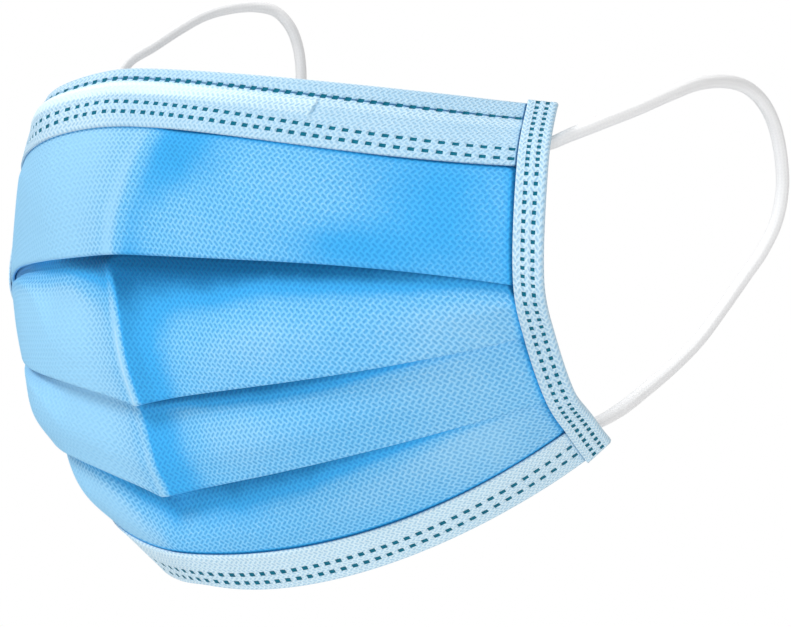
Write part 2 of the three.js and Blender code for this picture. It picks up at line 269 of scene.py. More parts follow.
# Control points of the seven lines across the mask: middle back, down; cheek out, back, down; jaw
# out, back, down; side out, back, down. Shares of the half span, the reach and the height.
LINES = np.array([
    [0.000, 0.000, 0.390, 0.015, 0.025, 0.660, 0.230, 0.055, 0.825, 0.700, 0.075],
    [-0.050, 0.115, 0.345, -0.070, 0.120, 0.625, 0.135, 0.185, 0.932, 0.515, 0.200],
    [-0.015, 0.355, 0.320, 0.000, 0.370, 0.640, 0.142, 0.365, 0.975, 0.447, 0.415],
    [0.075, 0.645, 0.330, 0.045, 0.600, 0.665, 0.160, 0.590, 0.955, 0.515, 0.508],
    [0.175, 0.823, 0.360, 0.150, 0.773, 0.670, 0.270, 0.722, 0.910, 0.668, 0.628],
    [0.223, 0.938, 0.338, 0.282, 0.938, 0.650, 0.475, 0.880, 0.865, 0.817, 0.692],
    [0.314, 1.000, 0.285, 0.376, 1.036, 0.637, 0.617, 0.930, 0.805, 0.988, 0.753],
])
TOP_EDGE, TOP_TAPE, FIRST_PLEAT, THIRD_PLEAT, BOTTOM_TAPE, BOTTOM_EDGE = 0, 1, 2, 4, 5, 6


# How far each line is rounded off in the middle; the second and third pleats stay creased there.
ROUNDED = np.array([0.08, 0.08, 0.05, 0, 0, 0.05, 0.05])[:, None, None]


def lines_at(station):
    """The seven lines' points at each station, [line, station, xyz]. A station runs from -1 at the
    right side binding through 0 in the middle to 1 at the left one, and on by SIDE_UNIT past them."""
    control = np.concatenate([np.zeros((7, 1)), LINES], axis=1).reshape(7, 4, 3)
    control = control * np.array([HALF_SPAN, REACH, -HEIGHT])
    share = np.minimum(np.abs(station), 1)[None, :, None]
    beyond = np.maximum(np.abs(station) - 1, 0)[None, :, None] * SIDE_UNIT
    p0, p1, p2, p3 = (control[:, i, None, :] for i in range(4))
    soft = np.sqrt(share**2 * (1 - ROUNDED**2) + ROUNDED**2)
    share = np.concatenate([share + 0 * soft, soft, soft], axis=2)
    point = (p0 * (1 - share) ** 3 + 3 * p1 * (1 - share) ** 2 * share
             + 3 * p2 * (1 - share) * share**2 + p3 * share**3)
    out = (p3 - p2) / np.linalg.norm(p3 - p2, axis=2, keepdims=True)
    return (point + out * beyond) * np.stack([np.sign(station + 1e-9), 1 + 0 * station, 1 + 0 * station], 1)


def marks_at(station):
    """Each line's length below the top edge, [station, line]."""
    steps = np.linalg.norm(np.diff(lines_at(station), axis=0), axis=2)
    return np.concatenate([np.zeros((1, len(station))), np.cumsum(steps, axis=0)]).T


def line_at(marks, length):
    """The line number, with a fraction, at each length below the top edge."""
    wide = np.concatenate([marks[:, :1] - (marks[:, 1:2] - marks[:, :1]), marks,
                           2 * marks[:, -1:] - marks[:, -2:-1]], axis=1)
    numbers = np.arange(-1, 8)
    return np.stack([np.interp(row, known, numbers) for row, known in zip(length, wide)])


# Where the soft mask stands fuller than its fitted surface: place across in mm from the middle, line
# number, reach across in mm and down in lines, and height in mm.
FULLNESS = [
    (-24, 0.45, 14, 0.36, 1.1), (-42, 3.6, 14, 0.5, 3.2), (-34, 4.5, 13, 0.45, 2.6), (-46, 2.6, 14, 0.6, 0.9),
]


def across_mm(station):
    """How far each station lies from the middle along the cloth, in mm and with its sign."""
    fine = np.linspace(0, 1, 200)
    run = np.linalg.norm(np.diff(lines_at(fine), axis=1), axis=2).mean(axis=0)
    run = np.concatenate([[0], np.cumsum(run)]) * 1000
    size = np.abs(station)
    return np.sign(station) * (np.interp(np.minimum(size, 1), fine, run)
                               + np.maximum(size - 1, 0) * SIDE_UNIT * 1000)


# How the welds and the embossing run across the mask: place in mm from the middle, and the length of
# flat pattern in mm up to there. It is drawn together next to the middle of the left half.
PATTERN = np.array([(-90, -93), (-25, -21.3), (-10, -10.2), (0, 0), (11, 12.3), (46, 58), (56, 70.3),
                    (90, 110)])


def pattern_mm(station):
    """How far each station lies from the middle along the flat pattern, in mm."""
    return np.interp(across_mm(station), PATTERN[:, 0], PATTERN[:, 1])


def swelling(station, line, swells):
    """The sum of a table of swells at each place, in metres. It fades out at the side bindings."""
    x = across_mm(station)[:, None]
    total = 0 * line
    for at_x, at_line, wide, high, size in swells:
        total = total + size * np.exp(-((x - at_x) / wide) ** 2 - ((line - at_line) / high) ** 2)
    return total * smooth_step((1 - np.abs(station)) / 0.15)[:, None] / 1000


def smooth_step(t):
    """0 up to t = 0 and 1 from t = 1 on, smooth between."""
    t = np.clip(t, 0, 1)
    return t * t * (3 - 2 * t)


def laid(station, line, depth):
    """Points on the mask's front surface, that depth behind it, for each station's row."""
    depth = depth - swelling(station, line, FULLNESS)
    nudge, step = 0.004, 0.01
    inside = np.clip(line, 0, 6)
    across = (along(spans_through(lines_at(station + nudge)), inside)
              - along(spans_through(lines_at(station - nudge)), inside))
    terms = spans_through(lines_at(station))
    down = along(terms, inside + step) - along(terms, inside - step)
    inwards = np.cross(across, down)
    inwards /= np.linalg.norm(inwards, axis=2, keepdims=True)
    return along(terms, line) + inwards * depth[..., None]


def two_sided(length, depth, wall):
    """The front and the back of a sheet whose middle runs along a path in length and depth."""
    step_l, step_d = np.diff(length, axis=1), np.diff(depth, axis=1)
    size = np.maximum(np.hypot(step_l, step_d), 1e-9)
    side_l, side_d = step_d / size, -step_l / size
    sum_l = np.concatenate([side_l[:, :1] * 2, side_l[:, 1:] + side_l[:, :-1], side_l[:, -1:] * 2], axis=1)
    sum_d = np.concatenate([side_d[:, :1] * 2, side_d[:, 1:] + side_d[:, :-1], side_d[:, -1:] * 2], axis=1)
    scale = wall / np.maximum(sum_l**2 + sum_d**2, 0.6)
    return (length + sum_l * scale, depth + sum_d * scale), (length - sum_l * scale, depth - sum_d * scale)


def both_sides(front, back):
    """One list of points, the front grid's and then the back grid's."""
    return np.concatenate([front.reshape(-1, 3), back.reshape(-1, 3)])


def sheet_faces(rows, columns):
    """Quads of a closed sheet: a front grid, a back grid after it and the rim between the two."""
    def grid(i, j):
        return i * columns + j
    i, j = np.meshgrid(np.arange(rows - 1), np.arange(columns - 1), indexing="ij")
    i, j = i.ravel(), j.ravel()
    front = np.stack([grid(i, j), grid(i, j + 1), grid(i + 1, j + 1), grid(i + 1, j)], 1)
    back = front[:, ::-1] + rows * columns
    rim = np.concatenate([
        grid(np.zeros(columns, int), np.arange(columns)), grid(np.arange(1, rows), columns - 1),
        grid(rows - 1, np.arange(columns - 2, -1, -1)), grid(np.arange(rows - 2, 0, -1), 0)])
    after = np.roll(rim, -1)
    edge = np.stack([after, rim, rim + rows * columns, after + rows * columns], 1)
    return front, back, edge


body_station = np.concatenate([np.linspace(0, 0.03, 5), np.linspace(0.03, 1, 84)[1:],
                               1 + np.linspace(0, IN_SIDE_BINDING, 4)[1:] / SIDE_UNIT])
body_station = np.concatenate([-body_station[:0:-1], body_station])
marks = marks_at(body_station)
openness = 1 - np.minimum(np.abs(body_station), 1) ** 2
near_binding = smooth_step((np.abs(body_station) - 0.9) / 0.1)
wall = CLOTH + (CLOTH_PRESSED - CLOTH) * near_binding
behind = BEHIND_SIDE + (BEHIND_MIDDLE - BEHIND_SIDE) * openness
turn = TURN_SIDE + (TURN_MIDDLE - TURN_SIDE) * smooth_step((1 - np.abs(body_station)) / 0.5)
tuck = TUCK_MIDDLE + (TUCK_SIDE - TUCK_MIDDLE) * np.minimum(np.abs(body_station), 1)
bound = np.full(len(body_station), IN_BINDING_DEPTH)


def panel_rise(start, end, depth_start, depth_end, count):
    """Cloth that comes forward from one depth to another, over its whole height in the left half and
    soon after its start in the right half."""
    t = np.linspace(0, 1, count)[None] ** 1.2
    soon = 1.06 + 6 * smooth_step((-body_station - 0.35) / 0.4)[:, None]
    depth = depth_start[:, None] + (depth_end - depth_start)[:, None] * smooth_step(t * soon)
    return start[:, None] + (end - start)[:, None] * t, depth


def half_turn(length, depth, radius, way, count):
    """Half a circle between two layers: down and round where way is 1, up and round where it is -1."""
    angle = (np.arange(1, count + 1) * math.pi / (count + 1))[None]
    return (length[:, None] + way * radius[:, None] * np.sin(angle),
            depth[:, None] + radius[:, None] * (1 - np.cos(angle)))


def straight(start, end, depth_start, depth_end, count):
    """A straight run of cloth from one length and depth to another."""
    t = np.linspace(0, 1, count)[None]
    return (start[:, None] + (end - start)[:, None] * t,
            depth_start[:, None] + (depth_end - depth_start)[:, None] * t)


skin = wall / 2
path = [straight(marks[:, TOP_TAPE] - 0.004, marks[:, TOP_TAPE], bound, bound, 4)]
panel_of = [np.zeros(4)]
start, start_depth = marks[:, TOP_TAPE] + 0.0002, bound
for pleat in range(FIRST_PLEAT, THIRD_PLEAT + 1):
    low = marks[:, pleat] - skin - turn
    high = marks[:, pleat] - tuck
    second = behind - 2 * turn
    path += [
        panel_rise(start, high, start_depth, skin, 30),
        straight(high + (low - high) / 6, low, skin, skin, 6),
        half_turn(low, skin, turn, 1, 5),
        straight(low, high + turn, skin + 2 * turn, second, 4),
        half_turn(high + turn, second, turn, -1, 3),
        straight(high + turn, marks[:, pleat], second + 2 * turn, behind + skin, 6),
    ]
    panel = pleat - FIRST_PLEAT
    panel_of += [np.full(36, panel), np.full(2, panel), np.full(3, panel + 0.5), np.full(7, panel + 0.5),
                 np.full(6, panel + 1)]
    start, start_depth = marks[:, pleat] + 0.0008, behind + skin
path += [
    panel_rise(start, marks[:, BOTTOM_TAPE] - 0.0002, start_depth, bound, 24),
    straight(marks[:, BOTTOM_TAPE], marks[:, BOTTOM_TAPE] + 0.0035, bound, bound, 4),
]
panel_of += [np.full(28, 3)]
length = np.concatenate([part[0] for part in path], axis=1)
depth = np.concatenate([part[1] for part in path], axis=1)
panel_of = np.concatenate(panel_of)

# Where the cloth stands proud or sinks in, in the same five columns as FULLNESS.
SWELLS = [
    (20, 1.45, 9, 0.35, -0.7), (36, 1.75, 14, 0.35, 0.5), (58, 1.4, 12, 0.3, -0.5), (-20, 1.6, 10, 0.4, 0.4),
    (30, 2.55, 14, 0.3, 0.7), (58, 2.7, 12, 0.3, -0.4), (18, 2.45, 7, 0.3, -0.6), (-22, 2.5, 9, 0.35, 0.3),
    (26, 3.55, 13, 0.3, 0.7), (55, 3.5, 12, 0.3, -0.4), (-18, 3.5, 9, 0.35, 0.3),
    (12, 4.55, 12, 0.3, 0.4), (42, 4.5, 14, 0.3, 0.4), (-16, 4.6, 10, 0.3, 0.3),
]


def from_ridge(station, line):
    """Distance across from the crease down the middle, in mm. The crease wanders from panel to panel."""
    middle = np.interp(line, [1, 1.33, 1.7, 2, 2.05, 3, 3.05, 3.5, 4, 4.1, 5],
                       [13, 7.8, 1.8, -1, -4.3, 1.5, -2.4, 0.2, 2, -3, 0])
    return across_mm(station)[:, None] - middle


def relief(station, line):
    """How far the body stands forward of its fitted surface, in metres: the crease and the swells."""
    ridge = np.interp(line, [1, 1.6, 1.98, 2.04, 4, 4.1, 5], [0, 0.15, 0.3, 1, 1, 0.2, 0])
    total = 0.0011 * ridge * np.clip(1 - np.abs(from_ridge(station, line)) / 12, 0, 1) ** 2
    total = total + swelling(station, line, SWELLS)
    hold = smooth_step((line - 1.02) / 0.35) * smooth_step((4.98 - line) / 0.3)
    return total * hold * smooth_step((1 - np.abs(station)) / 0.12)[:, None]


front_path, back_path = two_sided(length, depth, wall[:, None])
line = line_at(marks, length)
lift = relief(body_station, line)
front_points = laid(body_station, line_at(marks, front_path[0]), front_path[1] - lift)
back_points = laid(body_station, line_at(marks, back_path[0]), back_path[1] - lift)

# The embossing runs on down the panels. Each panel starts at one place of the pattern all along its
# fold, so the strokes run straight across.
steps = np.hypot(np.diff(length), np.diff(depth))
run = np.concatenate([np.zeros((len(length), 1)), np.cumsum(steps, axis=1)], axis=1)
anchors = [4] + [int(np.argmax(panel_of == panel)) + 5 for panel in (1, 2, 3)]
down_mm = np.zeros_like(run)
for first, column_start, last in zip(anchors, [0] + anchors[1:], anchors[1:] + [run.shape[1] - 1]):
    column = slice(column_start, last + 1)
    down_mm[:, column] = (run[:, first].mean() + run[:, column] - run[:, first:first + 1]) * 1000
across = np.broadcast_to(across_mm(body_station)[:, None], run.shape)
pattern = np.broadcast_to(pattern_mm(body_station)[:, None], run.shape)
body_uv = np.stack([pattern, down_mm], axis=-1).reshape(-1, 2)

# The tone says where the cloth is painted paler, above 0, and deeper, below 0; nearly all of it is
# painted light and shade. Each patch is place across, line number, reach across and down, as in
# SWELLS, and how much paler it is: soft patches of painted light and painted shade on the panels.
LIGHT_AND_SHADE_PATCHES = [
    (20, 1.15, 12, 0.35, -0.5), (40, 1.35, 12, 0.25, 0.6), (20, 1.8, 13, 0.25, 0.6),
    (52, 1.85, 10, 0.2, -0.6), (70, 1.4, 14, 0.4, -0.35), (30, 2.6, 15, 0.35, 0.5),
    (64, 2.5, 20, 0.35, 0.05), (24, 3.45, 12, 0.4, 0.45), (63, 3.35, 18, 0.3, 0.2),
    (62, 4.35, 24, 0.4, 0.3), (38, 4.5, 18, 0.4, 0.4), (20, 4.7, 14, 0.3, -0.2),
]
from_tapes = np.minimum(length - marks[:, TOP_TAPE:TOP_TAPE + 1],
                        marks[:, BOTTOM_TAPE:BOTTOM_TAPE + 1] - length) * 1000
to_side = (1 - np.abs(body_station))[:, None] * across_mm(np.array([1.0]))[0]
crease = from_ridge(body_station, line)
crease_share = np.interp(line, [1, 1.95, 2.05, 3, 3.1, 4, 4.05, 5], [0.5, 0.5, 1, 1, 0.85, 0.85, 0.1, 0])
# A painted highlight runs down the ridge line in the middle, and the wearer's right half of the mask, which
# faces the key light, is painted paler as painted light.
crest_highlight = np.interp(line, [1, 1.9, 2.05, 3, 3.1, 4, 4.05, 5], [0.8, 0.9, 1.9, 1.9, 0.5, 1.0, 0.1, 0])
crease_wide = np.interp(line, [1, 1.98, 2.02], [3.0, 2.0, 1.1])
tone = crest_highlight * np.exp(-((crease + 0.7) / crease_wide) ** 2) + 0.75 * smooth_step((2 - crease) / 8)
tone += 0.6 * smooth_step((-2 - crease) / 16)
# Each panel is painted paler or deeper by how it faces the light: painted light and shade over the wearer's
# left half, more so towards its side binding.
panel_light_and_shade = np.array([(-0.3, -0.3), (0.05, 0.55), (0.1, 0.35), (0.0, 0.55)])[np.floor(panel_of).astype(int)]
tone += panel_light_and_shade[:, 0] * smooth_step(crease / 14) + panel_light_and_shade[:, 1] * smooth_step((across - 45) / 25)
# A band of painted shade lies along the crease on the wearer's left, where the cloth turns away from the
# light.
crease_shade = (1.3 * crease_share * smooth_step((18 - crease) / 15)
          * smooth_step((crease - 0.5) / np.interp(line, [1, 1.98, 2.02], [9, 5, 0.9])))
tone += swelling(body_station, line, LIGHT_AND_SHADE_PATCHES) * 1000 - crease_shade
# Below each pleat's fold the cloth is painted into shade, towards FOLD_TONE, and a fine dark line of
# painted shade runs right under the fold. The columns: mm across, share of the shade, its reach down
# in mm, share of the fine line.
FOLD_TONE = -2.1
FOLD_SHADE = [
    np.array([(-60, 0.3, 4, 0.3), (-20, 0.9, 4.6, 0.3), (-8, 1, 7, 0.9), (11, 1, 10, 1), (22, 1, 9.5, 1),
              (35, 0.96, 6.3, 0.97), (46, 0.92, 5.3, 0.95), (61, 0.8, 4.8, 0.85), (76, 0.6, 2.6, 0.8)]),
    np.array([(-30, 0, 1, 0.65), (-12, 0, 1, 0.75), (0, 0.5, 1, 0.9), (4, 0.9, 1.1, 0.9),
              (18, 0.88, 3.4, 0.9), (32, 0.86, 3.9, 0.85), (44, 0.78, 3.3, 0.75), (59, 0.68, 1.5, 0.6),
              (72, 0, 1, 0)]),
    np.array([(-45, 0.2, 2.5, 0.3), (-27, 0.75, 3.6, 0.5), (-10, 0.87, 6.2, 0.5), (4, 0.6, 5, 0.7),
              (17, 0.8, 6.5, 0.9), (33, 0.82, 6.5, 0.85), (49, 0.76, 3.8, 0.8), (64, 0.7, 1.7, 0.75),
              (76, 0, 1, 0.75)]),
]
for pleat, shade in enumerate(FOLD_SHADE, FIRST_PLEAT):
    below = np.maximum((length - marks[:, pleat:pleat + 1]) * 1000, 0)
    amount, reach, fine_line = (np.interp(across, shade[:, 0], shade[:, column]) for column in (1, 2, 3))
    amount = np.maximum(amount * np.exp(-(below / reach) ** 2.2), fine_line * np.exp(-(below / 0.45) ** 2))
    under = (length > marks[:, pleat:pleat + 1] - 0.0012) & (panel_of >= pleat - FIRST_PLEAT + 0.5)
    tone += (FOLD_TONE - tone) * amount * under
# Painted shade: the cloth is darkest right beside the bindings, most of all along the bottom one.
tone -= (1.3 + 1.5 * (line > 4.5)) * np.exp(-(np.maximum(from_tapes, 0) / 0.5) ** 2)
tone -= 1.7 * np.exp(-(np.maximum(to_side, 0) / 0.6) ** 2) * (across > 0)
body_tone = np.tile(tone.ravel(), 2)


def ramp_down(tree, value, full, none):
    """A smooth step from 1 where value is full to 0 where it is none."""
    node = tree.nodes.new("ShaderNodeMapRange")
    node.interpolation_type = "SMOOTHSTEP"
    tree.links.new(value, node.inputs["Value"])
    for socket, number in zip(node.inputs[1:5], (full, none, 1, 0)):
        socket.default_value = number
    return node.outputs["Result"]


def emboss_group():
    """Rows of short strokes that lean one way in one row and the other way in the next. The vector
    is in mm across and down; Stroke is 1 on a stroke and 0 beside it."""
    group = bpy.data.node_groups.new("embossed strokes", "ShaderNodeTree")
    group.interface.new_socket("Vector", in_out="INPUT", socket_type="NodeSocketVector")
    for name, value in (("Column", 1.5), ("Row", 0.9), ("Length", 1.15), ("Width", 0.46)):
        socket = group.interface.new_socket(name, in_out="INPUT", socket_type="NodeSocketFloat")
        socket.default_value = value
    group.interface.new_socket("Stroke", in_out="OUTPUT", socket_type="NodeSocketFloat")
    into, out = group.nodes.new("NodeGroupInput"), group.nodes.new("NodeGroupOutput")
    parts = group.nodes.new("ShaderNodeSeparateXYZ")
    group.links.new(into.outputs["Vector"], parts.inputs[0])
    row = math_node(group, "DIVIDE", parts.outputs[1], into.outputs["Row"])
    odd = math_node(group, "FLOORED_MODULO", math_node(group, "FLOOR", row), 2.0)
    column = math_node(group, "DIVIDE", parts.outputs[0], into.outputs["Column"])
    column = math_node(group, "MULTIPLY_ADD", odd, 0.5, column)
    x = math_node(group, "SUBTRACT", math_node(group, "FRACT", column), 0.5)
    y = math_node(group, "SUBTRACT", math_node(group, "FRACT", row), 0.5)
    x = math_node(group, "MULTIPLY", x, into.outputs["Column"])
    y = math_node(group, "MULTIPLY", y, into.outputs["Row"])
    lean = math_node(group, "MULTIPLY_ADD", odd, -2.0, 1.0)
    slant = math.radians(36)
    y_leaning = math_node(group, "MULTIPLY", y, lean)
    on = math_node(group, "ADD", math_node(group, "MULTIPLY", x, math.cos(slant)),
                   math_node(group, "MULTIPLY", y_leaning, math.sin(slant)))
    off = math_node(group, "SUBTRACT", math_node(group, "MULTIPLY", y_leaning, math.cos(slant)),
                    math_node(group, "MULTIPLY", x, math.sin(slant)))
    on = math_node(group, "DIVIDE", math_node(group, "ABSOLUTE", on), into.outputs["Length"])
    off = math_node(group, "DIVIDE", math_node(group, "ABSOLUTE", off), into.outputs["Width"])
    stroke = math_node(group, "MULTIPLY", ramp_down(group, on, 0.34, 0.62), ramp_down(group, off, 0.25, 0.85))
    group.links.new(stroke, out.inputs["Stroke"])
    return group


def fibre_group():
    """Fine matted fibres and a slow unevenness of the web, each about 0.5 on average."""
    group = bpy.data.node_groups.new("matted fibres", "ShaderNodeTree")
    group.interface.new_socket("Vector", in_out="INPUT", socket_type="NodeSocketVector")
    group.interface.new_socket("Fibres", in_out="OUTPUT", socket_type="NodeSocketFloat")
    group.interface.new_socket("Cloud", in_out="OUTPUT", socket_type="NodeSocketFloat")
    into, out = group.nodes.new("NodeGroupInput"), group.nodes.new("NodeGroupOutput")
    for name, scale, detail in (("Fibres", 2.2, 6.0), ("Cloud", 0.13, 3.0)):
        noise = group.nodes.new("ShaderNodeTexNoise")
        noise.inputs["Scale"].default_value = scale
        noise.inputs["Detail"].default_value = detail
        noise.inputs["Roughness"].default_value = 0.65
        noise.inputs["Distortion"].default_value = 0.6
        group.links.new(into.outputs["Vector"], noise.inputs["Vector"])
        group.links.new(noise.outputs["Fac"], out.inputs[name])
    return group


strokes = emboss_group()
fibres = fibre_group()


def cloth_finish(name, pale, plain, deep, shaded, stroke_colour, highlight_colour, stroke_share, sizes, sheen=0.1):
    """Embossed nonwoven cloth. Its colour runs with the tone, which carries painted light and shade:
    shaded at -2, deep at -1, plain at 0 and pale at 1. Pale flecks, a painted highlight on the raised
    fibres, stand up between the strokes, and where the tone passes 2, as painted highlight, it is as pale."""
    material, tree, shader = finish_named(name, 0.8, 0.25, sheen)
    shader.inputs["Sheen Roughness"].default_value = 0.4
    place = tree.nodes.new("ShaderNodeUVMap")
    place.uv_map = "cloth"
    tone = tree.nodes.new("ShaderNodeAttribute")
    tone.attribute_name = "tone"
    web = tree.nodes.new("ShaderNodeGroup")
    web.node_tree = fibres
    marks = tree.nodes.new("ShaderNodeGroup")
    marks.node_tree = strokes
    for node in (web, marks):
        tree.links.new(place.outputs["UV"], node.inputs["Vector"])
    for key, size in sizes.items():
        marks.inputs[key].default_value = size
    level = tone.outputs["Fac"]
    for output, share in (("Cloud", 0.35), ("Fibres", 0.5)):
        uneven = math_node(tree, "SUBTRACT", web.outputs[output], 0.5)
        level = math_node(tree, "MULTIPLY_ADD", uneven, share, level)
    paler, deeper, darkest = (ramp_down(tree, level, *ends) for ends in ((1, 0), (-1, 0), (-2, -1)))
    # Above a tone of about 2 the colour turns towards the pale colour: a painted highlight.
    crest_highlight = ramp_down(tree, level, 2.4, 1.5)
    ground = mixed(tree, darkest, mixed(tree, deeper, mixed(tree, paler, plain, pale), deep), shaded)
    clear = math_node(tree, "MULTIPLY_ADD", ramp_down(tree, level, 1.5, 0.5), -0.85, 1.0)
    clear = math_node(tree, "MULTIPLY_ADD", deeper, -0.25, clear)
    worn = math_node(tree, "MULTIPLY_ADD", web.outputs["Fibres"], 2.0, -0.2)
    stroke = math_node(tree, "MULTIPLY", marks.outputs["Stroke"], worn)
    stroke = math_node(tree, "MULTIPLY", math_node(tree, "MULTIPLY", stroke, stroke_share), clear)
    # Pale flecks on the raised fibres between the strokes: a painted highlight.
    fibre_highlight = ramp_down(tree, web.outputs["Fibres"], 0.72, 0.4)
    fibre_highlight = math_node(tree, "MULTIPLY_ADD", marks.outputs["Stroke"], -1.6, fibre_highlight)
    fibre_highlight = math_node(tree, "MULTIPLY", math_node(tree, "MAXIMUM", fibre_highlight, 0.0), clear)
    fibre_highlight = math_node(tree, "MULTIPLY", fibre_highlight, 0.34)
    fibre_highlight = math_node(tree, "MULTIPLY", fibre_highlight, math_node(tree, "MULTIPLY_ADD", deeper, -1.0, 1.0))
    ground = mixed(tree, fibre_highlight, ground, highlight_colour)
    ground = mixed(tree, math_node(tree, "MULTIPLY", crest_highlight, 0.7), ground, highlight_colour)
    multiply = tree.nodes.new("ShaderNodeMix")
    multiply.data_type, multiply.blend_type = "RGBA", "MULTIPLY"
    tree.links.new(stroke, multiply.inputs["Factor"])
    tree.links.new(ground, multiply.inputs[6])
    multiply.inputs[7].default_value = (*stroke_colour, 1)
    tree.links.new(multiply.outputs[2], shader.inputs["Base Color"])
    nap = math_node(tree, "MULTIPLY", web.outputs["Fibres"], 0.5)
    height = math_node(tree, "MULTIPLY_ADD", marks.outputs["Stroke"], -1.0, nap)
    bumped(tree, shader, height, 0.00008)
    return material


blue_cloth = cloth_finish("blue embossed cloth", (0.31, 0.64, 0.915), (0.165, 0.55, 0.91),
                          (0.045, 0.42, 0.86), (0.0, 0.15, 0.37), (0.12, 0.46, 0.70), (0.55, 0.80, 0.97),
                          0.68, {}, sheen=0.04)
inner_cloth = cloth_finish("inner white cloth", (0.80, 0.84, 0.88), (0.74, 0.80, 0.86), (0.66, 0.75, 0.84),
                           (0.45, 0.58, 0.72), (0.82, 0.88, 0.93), (0.85, 0.88, 0.92), 0.6, {})

front, back, edge = sheet_faces(*length.shape)
faces = np.concatenate([front, back, edge])
body = built("pleated_blue_cloth", both_sides(front_points, back_points), faces.tolist(),
             np.tile(body_uv, (2, 1))[faces], body_tone,
             np.repeat([0, 1, 0], [len(front), len(back), len(edge)]), [blue_cloth, inner_cloth])
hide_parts("pleated_body")


# The top and bottom bindings are strips of thin pale nonwoven tape folded over the cloth's edge and
# welded through in rows of short dashes. The top one has a pocket for the nose wire.
TAPE = 0.0004
FOLD_START = 0.04
DASH_PITCH = 2.9
DASH_LENGTH = 1.4
DASH_RIM = 0.0001
DASH_JOINT = 0.00009
DASH_SUNK = 0.0001
WIRE_END = 0.0435
WIRE_PLACE = 0.42
# Each row of dashes: its place in the middle and at the sides, as a share of the tape's width from the
# folded edge, and half its dashes' height.
TOP_ROWS = [(0.17, 0.29, 0.0005), (0.59, 0.8, 0.00036), (0.76, 0.925, 0.00036)]
BOTTOM_ROWS = [(0.19, 0.34, 0.00058), (0.44, 0.62, 0.00058)]


def notched(stops, half, rim):
    """Places on either side of each stop: outer rim, dash edge, dash edge, outer rim."""
    return np.stack([stops - half - rim, stops - half, stops + half, stops + half + rim], -1)


def row_place(row, size):
    """How far down the tape a row of dashes lies where size is 0, in the middle, to 1, at the sides."""
    return row[0] + (row[1] - row[0]) * size


def tape(name, front_points, back_points, uv, tone, weld, flipped):
    """A binding's mesh from its two grids of points, with its weld marks in a slot of their own."""
    front, back, edge = sheet_faces(*weld.shape)
    if flipped:
        front, back, edge = front[:, ::-1], back[:, ::-1], edge[:, ::-1]
    welded = weld.ravel()[front].all(axis=1)
    slots = np.concatenate([welded.astype(int), np.zeros(len(back) + len(edge))])
    faces = np.concatenate([front, back, edge])
    return built(name, both_sides(front_points, back_points), faces.tolist(),
                 np.tile(uv.reshape(-1, 2), (2, 1))[faces], np.tile(tone.ravel(), 2), slots,
                 [tape_cloth, weld_mark])


